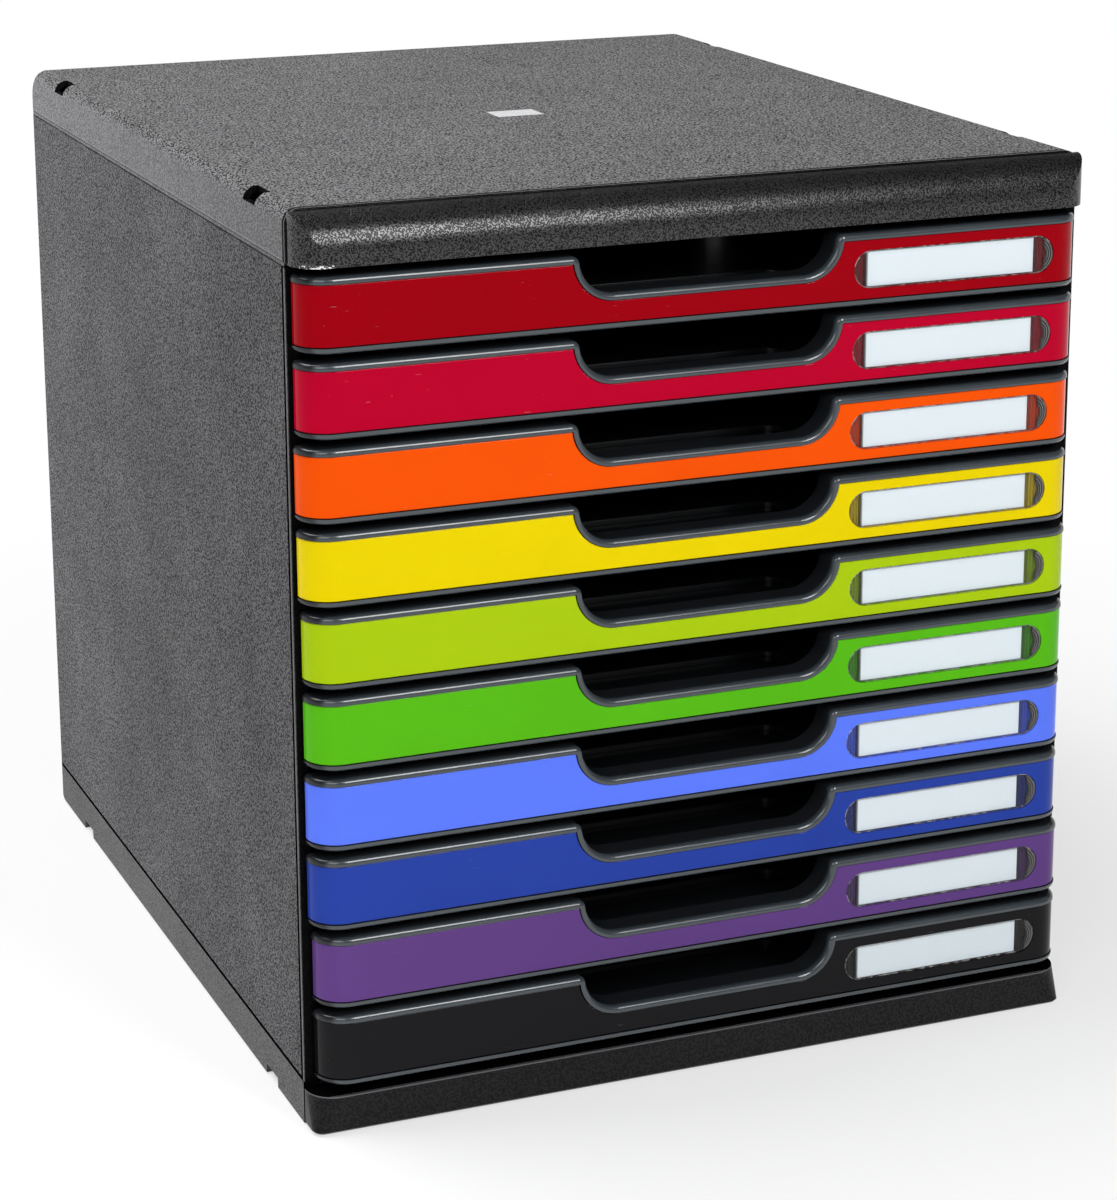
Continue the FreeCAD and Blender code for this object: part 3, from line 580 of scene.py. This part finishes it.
@dataclass(frozen=True)
class ClearFinish:
    """The clear insert over the card: a painted highlight on its chamfered rim, painted shade inside the
    rim, beside the card's ends and between the fine ribs at its ends, a painted dark reflection with
    painted glints at its right tip, and a sharp gloss.
    """

    name: str
    card_ends: Span = (-33.3 * MM, 30.9 * MM)
    soft: float = 0.08 * MM
    rim: float = 0.26 * MM
    rib_pitch: float = 1.15 * MM
    rib_cut: Span = (-0.1, 0.5)
    rib_strength: float = 0.55
    left_bar: Span = (-1.1 * MM, -0.1 * MM)
    right_bar: Span = (0.1 * MM, 0.8 * MM)
    bar_strength: float = 0.65
    tip_from: Span = (3.2 * MM, 4.2 * MM)
    tip_inside: Span = (-3.0 * MM, -2.2 * MM)
    tip_strength: float = 0.9
    groove_strength: float = 0.45
    glint_pitch: float = 0.85 * MM
    glint_cut: Span = (0.80, 0.95)
    glint_strength: float = 0.5
    spot_mm: float = 2.2
    spot_cut: Span = (0.40, 0.6)
    spot_levels: Span = (0.15, 0.75)
    # dark is the colour of painted shade and of the tip's painted dark reflection; pale is the colour of
    # painted highlights.
    dark: Colour = (0.006, 0.005, 0.005)
    pale: Colour = (0.80, 0.78, 0.76)
    body_roughness: float = 0.08
    gloss_roughness: float = 0.03
    gloss_ior: float = 1.2
    wave_mm: float = 9.0
    wave_depth_mm: float = 0.008

    def shape(self, net: Net) -> tuple[Socket, Socket]:
        """Measures a place on the insert.

        Args:
            net: The material's tree.

        Returns:
            How far it lies right of the middle, and how far outside the rounded outline.
        """
        share = net.split(net.add("ShaderNodeTexCoord").outputs["Generated"])
        length, height = WINDOW_SIZE[Axis.X], WINDOW_SIZE[Axis.Z]
        across = net.maths("MULTIPLY_ADD", share[Axis.X], length, -length / 2)
        rise = net.maths("MULTIPLY_ADD", share[Axis.Z], height, -height / 2)
        past = net.maths("SUBTRACT", net.maths("ABSOLUTE", across), (length - height) / 2)
        past = net.larger(past, 0.0)
        square = net.maths("ADD", net.times(past, past), net.times(rise, rise))
        return across, net.maths("SUBTRACT", net.maths("SQRT", square), height / 2)

    def rib_shade(self, net: Net, across: Socket) -> Socket:
        """Painted shade between the fine ribs beside the card.

        Args:
            net: The material's tree.
            across: How far a place lies right of the middle.

        Returns:
            How dark they make each place, from 0 to 1.
        """
        left, right = self.card_ends
        beside = net.larger(net.span(across, (left - self.soft, left), (1.0, 0.0)),
                            net.span(across, (right, right + self.soft)))
        wave = net.maths("SINE", net.times(across, math.tau / self.rib_pitch))
        return net.times(net.span(wave, self.rib_cut, (0.0, self.rib_strength)), beside)

    def bar_shade(self, net: Net, across: Socket) -> Socket:
        """The bars of painted shade next to the card's two ends.

        Args:
            net: The material's tree.
            across: How far a place lies right of the middle.

        Returns:
            How dark they make each place, from 0 to 1.
        """
        places = [tuple(end + edge for edge in bar)
                  for end, bar in zip(self.card_ends, (self.left_bar, self.right_bar))]
        both = net.larger(*(net.band(across, place, self.soft) for place in places))
        return net.times(both, self.bar_strength)

    def tip_reflection(self, net: Net, across: Socket, out: Socket) -> Socket:
        """The painted dark reflection in the round tip at the right end.

        Args:
            net: The material's tree.
            across: How far a place lies right of the middle.
            out: How far it lies outside the outline.

        Returns:
            How dark it makes each place, from 0 to 1.
        """
        right = self.card_ends[1]
        start = tuple(right + edge for edge in self.tip_from)
        return net.times(net.span(across, start, (0.0, self.tip_strength)), net.span(out, self.tip_inside))

    def make(self) -> bpy.types.Material:
        """Builds the material.

        Returns:
            The finished material.
        """
        net = Net(self.name)
        across, out = self.shape(net)
        # Painted highlight on the chamfered rim, and painted shade in the groove just inside it.
        rim = net.band(out, (-self.rim, FAR), self.soft)
        groove_shade = net.band(out, (-2.0 * self.rim, -self.rim), self.soft)
        tip_reflection = self.tip_reflection(net, across, out)
        dark = net.larger(self.bar_shade(net, across), net.larger(self.rib_shade(net, across), tip_reflection))
        dark = net.larger(dark, net.times(groove_shade, self.groove_strength))
        # Painted highlight: curved glints inside the tip's painted dark reflection.
        wave = net.maths("SINE", net.times(out, math.tau / self.glint_pitch))
        glint = net.times(net.span(wave, self.glint_cut, (0.0, self.glint_strength)), tip_reflection)
        # The rim's painted highlight comes in spots.
        spots = net.span(net.noise(self.spot_mm, 2.0, 0.6), self.spot_cut, self.spot_levels)
        pale = net.larger(net.times(rim, spots), glint)
        body = net.add("ShaderNodeBsdfPrincipled", Base_Color=net.blend(pale, self.dark, self.pale),
                       Roughness=self.body_roughness, Alpha=net.larger(dark, pale))
        wavy = net.bump(net.noise(self.wave_mm, 2.0, 0.4), self.wave_depth_mm)
        gloss = net.add("ShaderNodeBsdfGlossy", Roughness=self.gloss_roughness, Normal=wavy)
        outer = net.maths("SUBTRACT", 1.0, net.add("ShaderNodeNewGeometry").outputs["Backfacing"])
        fresnel = net.add("ShaderNodeFresnel", IOR=self.gloss_ior).outputs[0]
        net.mixed(net.times(fresnel, outer), body, gloss)
        return net.owner


@dataclass(frozen=True)
class CardFinish:
    """White card with a trace of fibre."""

    name: str
    colour: Colour
    roughness: float = 0.75
    fibre_mm: float = 0.35
    fibre_depth_mm: float = 0.01
    tone_swing: float = 0.03

    def make(self) -> bpy.types.Material:
        """Builds the material.

        Returns:
            The finished material.
        """
        net = Net(self.name)
        fibre = net.noise(self.fibre_mm, 3.0, 0.7)
        tone = net.span(fibre, CLOUD, (1.0 - self.tone_swing, 1.0 + self.tone_swing))
        return net.finish(Base_Color=net.tinted(self.colour, tone), Roughness=self.roughness,
                          Normal=net.bump(fibre, self.fibre_depth_mm))


@dataclass(frozen=True)
class PlateFinish:
    """A bright brushed plate with painted shade along its border, for the gap around it."""

    name: str
    colour: Colour
    border: float = 0.9 * MM
    border_soft: float = 0.2
    border_shade: Colour = (0.02, 0.02, 0.02)
    brushing: Triple = (40.0, 4000.0, 400.0)
    brush_depth_mm: float = 0.004
    metallic: float = 0.9
    roughness: Span = (0.18, 0.34)

    def make(self) -> bpy.types.Material:
        """Builds the material.

        Returns:
            The finished material.
        """
        net = Net(self.name)
        stretch = net.add("ShaderNodeMapping", Vector=net.place, Scale=self.brushing)
        brushed = net.add("ShaderNodeTexNoise", Vector=stretch.outputs[0], Scale=1.0, Detail=3.0)
        lines = brushed.outputs["Fac"]
        share = net.split(net.add("ShaderNodeTexCoord").outputs["Generated"])
        field: Value = 1.0
        for axis in (Axis.X, Axis.Y):
            margin = self.border / PLATE_SIZE[axis]
            inside = net.band(share[axis], (margin, 1.0 - margin), margin * self.border_soft)
            field = net.times(field, inside)
        # Painted shade: the border goes dark for the gap around the plate.
        return net.finish(Base_Color=net.blend(field, self.border_shade, self.colour),
                          Metallic=self.metallic, Roughness=net.span(lines, CLOUD, self.roughness),
                          Normal=net.bump(lines, self.brush_depth_mm))


def dress(finish: Finish, *nodes: str) -> None:
    """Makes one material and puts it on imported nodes.

    Args:
        finish: What the nodes are finished in.
        nodes: The nodes' names.
    """
    material = finish.make()
    for node in nodes:
        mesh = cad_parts[node].data
        mesh.materials.clear()
        mesh.materials.append(material)
        LOG.info("%s: %s", node, material.name)


@dataclass
class Cover:
    """The cabinet's moulded top: four stacking notches with painted shade in them, a lip with a painted
    highlight line and painted shade lines, and a bare badge plate.
    """

    notch_from_end: float = 49.5 * MM
    notch_half: float = 6.55 * MM
    notch_inset: float = 5.6 * MM
    notch_depth: float = 4.2 * MM
    notch_shade: float = 0.96
    notch_edge: float = 0.02 * MM
    lip_highlight: Span = (2.0 * MM, 2.5 * MM)
    lip_groove_shade: Span = (1.4 * MM, 2.0 * MM)
    lip_hem_shade: Span = (-PAST, 0.3 * MM)
    front_gap_shade: Span = (-PAST, 0.8 * MM)

    def notches(self) -> tuple[Zone, ...]:
        """The painted shade in the notches.

        Returns:
            A zone for each pair, left and right.
        """
        middles = (VISOR_FRONT + self.notch_from_end, COVER_REAR - self.notch_from_end)
        # Painted shade inside each notch.
        return tuple(Zone(BLACK, self.notch_shade, (HALF - self.notch_inset, HALF + PAST),
                          (middle - self.notch_half, middle + self.notch_half),
                          (TOP - self.notch_depth, TOP + PAST), self.notch_edge) for middle in middles)

    def lip(self) -> tuple[Zone, ...]:
        """The fine lines along the skirt's lower edge and beside the visor: a painted highlight line, and
        painted shade in the groove, at the hem and in the gap to the visor.

        Returns:
            A zone for each line.
        """
        light, groove_shade, hem_shade = (tuple(SKIRT + edge for edge in line)
                              for line in (self.lip_highlight, self.lip_groove_shade, self.lip_hem_shade))
        gap_shade = tuple(COVER_FRONT + edge for edge in self.front_gap_shade)
        # A painted highlight line, then painted shade in the groove, at the hem and in the gap beside the
        # visor.
        return (Zone((0.30, 0.30, 0.31), 0.5, z=light), Zone(BLACK, 0.75, z=groove_shade),
                Zone(BLACK, 0.9, z=hem_shade), Zone(BLACK, 0.9, y=gap_shade))

    def build(self) -> None:
        """Dresses the cover and its plate."""
        dress(CoverFinish("cover_plastic", (0.085, 0.083, 0.086), roughness=0.50, grain_mm=0.60,
                          depth_mm=0.05, contrast=0.92, mottle=0.05, specular=0.42,
                          stretch=(1.0, 1.6, 1.0), zones=self.notches() + self.lip()), "top_cover")
        dress(PlateFinish("plate_metal", (0.78, 0.79, 0.81)), "badge_plate")


@dataclass
class Visor:
    """The rounded cap over the drawers, with a beaded rim that has a painted highlight and painted shade
    lines, and a few pale chips at its lower left.
    """

    bead_width: float = 1.2 * MM
    bead_edges: Span = (-0.1 * MM, -0.2 * MM)
    groove_length: float = 1.5 * MM
    joint_length: float = 2.0 * MM
    chips_from_side: Span = (2.5 * MM, 13.0 * MM)
    chips_height: float = 1.3 * MM
    chip_edge: float = 0.15 * MM
    chip_mm: float = 0.9

    def rim(self) -> tuple[Zone, ...]:
        """The painted highlight on the bead, and the painted shade in the lines behind and in front of it.

        Returns:
            A zone for each line.
        """
        front = COVER_FRONT - self.bead_width
        bead = (front + self.bead_edges[0], COVER_FRONT + self.bead_edges[1])
        # A painted highlight on the bead, and painted shade behind and in front of it.
        return (Zone((0.22, 0.22, 0.23), 0.7, y=bead),
                Zone(BLACK, 0.9, y=(bead[1], COVER_FRONT + self.joint_length)),
                Zone(BLACK, 0.8, y=(front - self.groove_length, bead[0])))

    def chips(self) -> Zone:
        """The pale chips along the lower edge.

        Returns:
            Their zone, on the left side only.
        """
        across = tuple(-HALF + edge for edge in self.chips_from_side)
        return Zone((0.85, 0.85, 0.85), 1.0, x=across, z=(VISOR_LOW - PAST, VISOR_LOW + self.chips_height),
                    edge=self.chip_edge, mirrored=False, flake_mm=self.chip_mm)

    def build(self) -> None:
        """Dresses the visor."""
        dress(MouldedFinish("visor_plastic", (0.0035, 0.0035, 0.004), roughness=0.29, grain_mm=0.55,
                            depth_mm=0.045, contrast=0.60, mottle=0.05, specular=0.60,
                            zones=self.rim() + (self.chips(),)), "top_visor")


@dataclass
class Carcass:
    """The side panels, the back panel and the runner frames that carry the drawers."""

    side_shadow: Span = (-PAST, 0.6 * MM)
    runner_wall: float = 0.3 * MM
    runner_lip: float = 1.3 * MM

    def build(self) -> None:
        """Dresses the panels and the runner frames."""
        # Painted shade in the groove above the base and in the shadow line along each panel's front edge.
        shadow = tuple(SIDE_FRONT + edge for edge in self.side_shadow)
        dress(MouldedFinish("side_plastic", (0.0370, 0.0350, 0.0420), roughness=0.48, grain_mm=0.64,
                            depth_mm=0.05, contrast=0.80, mottle=0.20, specular=0.42,
                            stretch=(1.0, 1.5, 1.0), zones=(Zone(BLACK, z=SEAM_SHADE), Zone(BLACK, y=shadow)),
                            front_shade=0.32), "left_side_panel", "right_side_panel")
        dress(MouldedFinish("back_plastic", (0.034, 0.033, 0.037), roughness=0.48, grain_mm=0.55,
                            depth_mm=0.05, contrast=0.75, mottle=0.10), "back_panel")
        # Painted shade: the runner frames go dark on their inner faces and behind their front lip.
        inner_shade = Zone(BLACK, 0.93, x=(0.0, HALF - self.runner_wall))
        behind = Zone(BLACK, y=(SIDE_FRONT - self.runner_lip, COVER_REAR))
        dress(MouldedFinish("runner_plastic", (0.012, 0.012, 0.013), roughness=0.35, grain_mm=0.8,
                            depth_mm=0.02, contrast=0.3, mottle=0.05, specular=0.4, zones=(inner_shade, behind)),
              "left_runner_frame", "right_runner_frame")


@dataclass
class Base:
    """The base pan, its flared front strip and the four pads."""

    front_shadow: Span = (-PAST, 1.3 * MM)
    top_highlight: float = 0.5 * MM
    shelf_from: float = 1.2 * MM
    shelf_depth: float = 0.1 * MM
    shelf_edge: float = 0.05 * MM

    def build(self) -> None:
        """Dresses the base's nodes."""
        # Painted shade in the groove under the side panels and in the shadow line at the runner frames'
        # front.
        shadow = tuple(RUNNER_FRONT + edge for edge in self.front_shadow)
        dress(MouldedFinish("base_plastic", (0.032, 0.031, 0.034), roughness=0.45, grain_mm=0.55,
                            depth_mm=0.04, contrast=0.50, mottle=0.08, specular=0.42,
                            stretch=(1.0, 1.6, 1.0), zones=(Zone(BLACK, z=SEAM_SHADE), Zone(BLACK, y=shadow))),
              "base_pan")
        # Painted highlight: a lighter line along the fascia's top edge.
        line = Zone((0.16, 0.16, 0.17), 0.8, z=(FASCIA_TOP - self.top_highlight, FASCIA_TOP))
        # Painted shade on the fascia's top, behind its front, under the drawers.
        shelf_shade = Zone(BLACK, y=(FASCIA_FRONT + self.shelf_from, FAR),
                     z=(FASCIA_TOP - self.shelf_depth, FASCIA_TOP + PAST), edge=self.shelf_edge)
        dress(MouldedFinish("fascia_plastic", (0.0048, 0.0049, 0.0058), roughness=0.40, grain_mm=0.8,
                            depth_mm=0.02, contrast=0.22, mottle=0.05, specular=0.2, zones=(line, shelf_shade)),
              "base_fascia")
        dress(MouldedFinish("pad_rubber", (0.02, 0.02, 0.02), roughness=0.8, grain_mm=0.8, depth_mm=0.04,
                            contrast=0.3, mottle=0.1), "foot_pads")


class FrontColour(Enum):
    """The ten front colours, from the top drawer down."""

    DARK_RED = (0.318, 0.0008, 0.0055)
    CRIMSON = (0.475, 0.0012, 0.0235)
    ORANGE = (0.900, 0.086, 0.0022)
    YELLOW = (0.815, 0.637, 0.0015)
    LIME = (0.393, 0.575, 0.0065)
    GREEN = (0.096, 0.480, 0.0095)
    CORNFLOWER = (0.112, 0.203, 0.970)
    NAVY = (0.0235, 0.055, 0.350)
    PURPLE = (0.119, 0.052, 0.221)
    BLACK = (0.0080, 0.0080, 0.0087)


@dataclass
class DrawerStack:
    """Ten drawers, each of a tray, a coloured front, a clear window and a card."""

    colours: Sequence[FrontColour] = tuple(FrontColour)
    rim_depth: float = 2.0 * MM

    def nodes(self, part: str) -> list[str]:
        """The node names of one part, from the top drawer down."""
        return [f"drawer_{number:02d}_{part}" for number in range(1, len(self.colours) + 1)]

    def build(self) -> None:
        """Dresses the parts that all drawers share, and then each coloured front."""
        # The tray's second colour is painted shade for everything behind its rim.
        dress(TrayFinish("tray_plastic", (0.037, 0.047, 0.055), (0.014, 0.016, 0.019),
                         DRAWER_FACE + self.rim_depth), *self.nodes("tray"))
        dress(ClearFinish("window_plastic"), *self.nodes("window"))
        dress(CardFinish("card_paper", (0.740, 0.820, 0.865)), *self.nodes("card"))
        for node, colour in zip(self.nodes("front"), self.colours):
            dress(GlossFinish(f"front_{colour.name.lower()}", colour.value), node)


@dataclass
class Lamp:
    """One soft box."""

    name: str
    place: Triple
    target: Triple
    size: Span
    power: float

    def build(self) -> None:
        """Hangs the lamp and turns it to its target."""
        data = bpy.data.lights.new(self.name, "AREA")
        data.shape = "RECTANGLE"
        data.size, data.size_y = self.size
        data.energy = self.power
        lamp = bpy.data.objects.new(self.name, data)
        lamp.location = self.place
        aim = Vector(self.target) - Vector(self.place)
        lamp.rotation_euler = aim.to_track_quat("-Z", "Y").to_euler()
        bpy.context.scene.collection.objects.link(lamp)


@dataclass
class Studio:
    """Floor, lamps, surroundings and camera."""

    ambient: float = 0.14
    backdrop: float = 1.0
    backdrop_top: Span = (0.24, 0.34)
    backdrop_behind: Span = (-0.2, 0.3)
    floor_reach: float = 6.0
    floor_colour: Colour = (0.86, 0.86, 0.86)
    glow_from: Span = (0.20, 0.60)
    glow_levels: Span = (0.60, 1.0)
    lamps: Sequence[Lamp] = (
        Lamp("overhead_box", (-0.55, 0.28, 1.40), (0.0, 0.0, 0.3), (0.9, 0.7), 20.0),
        Lamp("front_box", (-0.80, -1.20, 1.00), (0.0, -0.18, 0.15), (0.9, 0.9), 7.0),
        Lamp("right_box", (0.34, -1.40, 1.06), (0.0, -0.18, 0.20), (0.45, 0.70), 11.5),
    )
    azimuth: float = -0.38561
    elevation: float = 0.25952
    roll: float = -0.00336
    distance: float = 1.28661
    aim: Triple = (0.01674, 0.0, 0.17718)
    sensor_mm: float = 36.0
    focal_px: float = 3311.8
    frame_px: float = 1200.0
    shift: Span = (0.0, -0.117)
    clip: Span = (0.05, 50.0)

    def floor(self) -> None:
        """Lays the pale floor, which fades to plain white away from the object."""
        mesh = bpy.data.meshes.new("floor")
        reach = self.floor_reach
        corners = [(-reach, -reach, 0.0), (reach, -reach, 0.0), (reach, reach, 0.0), (-reach, reach, 0.0)]
        mesh.from_pydata(corners, [], [(0, 1, 2, 3)])
        ground = bpy.data.objects.new("floor", mesh)
        bpy.context.scene.collection.objects.link(ground)
        net = Net("floor_paint")
        diffuse = net.add("ShaderNodeBsdfDiffuse", Color=(*self.floor_colour, 1.0))
        glow = net.add("ShaderNodeEmission", Color=WHITE, Strength=1.0)
        flat = net.add("ShaderNodeVectorMath", {"operation": "LENGTH"})
        net.put(flat.inputs[0], net.place)
        away = net.span(flat.outputs["Value"], self.glow_from, self.glow_levels)
        path = net.add("ShaderNodeLightPath").outputs
        seen = net.larger(path["Is Camera Ray"], path["Is Glossy Ray"])
        seen = net.larger(seen, path["Is Transmission Ray"])
        net.mixed(net.times(away, seen), diffuse, glow)
        mesh.materials.append(net.owner)

    def surroundings(self) -> None:
        """Dim surroundings with a light backdrop low behind the object, which shows as plain white."""
        world = bpy.data.worlds.new("surround")
        net = Net("surround", world)
        around = net.split(net.add("ShaderNodeTexCoord").outputs["Generated"])
        near_ground = net.span(around[Axis.Z], self.backdrop_top, (1.0, 0.0))
        behind = net.span(around[Axis.Y], self.backdrop_behind)
        glow = net.times(near_ground, behind)
        level = net.span(glow, (0.0, 1.0), (self.ambient, self.backdrop))
        soft = net.add("ShaderNodeBackground", Color=WHITE, Strength=level)
        white = net.add("ShaderNodeBackground", Color=WHITE, Strength=1.0)
        path = net.add("ShaderNodeLightPath").outputs
        seen = net.larger(path["Is Camera Ray"], path["Is Transmission Ray"])
        seen = net.larger(seen, net.times(path["Is Glossy Ray"], glow))
        net.mixed(seen, soft, white)
        bpy.context.scene.world = world

    def camera(self) -> None:
        """Sets the camera at the photograph's angle."""
        flat = math.cos(self.elevation)
        back = Vector((math.sin(self.azimuth) * flat, -math.cos(self.azimuth) * flat,
                       math.sin(self.elevation)))
        level = (-back).cross(Vector((0, 0, 1))).normalized()
        upward = level.cross(-back)
        cosine, sine = math.cos(self.roll), math.sin(self.roll)
        across = cosine * level + sine * upward
        rise = cosine * upward - sine * level
        data = bpy.data.cameras.new("camera")
        data.sensor_width = self.sensor_mm
        data.lens = self.sensor_mm * self.focal_px / self.frame_px
        data.shift_x, data.shift_y = self.shift
        data.clip_start, data.clip_end = self.clip
        eye = bpy.data.objects.new("camera", data)
        turn = Matrix((across, rise, back)).transposed().to_4x4()
        eye.matrix_world = Matrix.Translation(Vector(self.aim) + back * self.distance) @ turn
        bpy.context.scene.collection.objects.link(eye)
        bpy.context.scene.camera = eye

    def build(self) -> None:
        """Sets up the whole studio."""
        self.floor()
        self.surroundings()
        for lamp in self.lamps:
            lamp.build()
        self.camera()
        view = bpy.context.scene.view_settings
        view.view_transform = "Standard"


def main() -> None:
    """Builds the looks, one sub-assembly after another."""
    logging.basicConfig(level=logging.INFO, format="%(name)s %(message)s")
    for part in (Cover(), Visor(), Carcass(), Base(), DrawerStack(), Studio()):
        part.build()
        LOG.info("built %s", type(part).__name__)


if __name__ == "__main__":
    main()
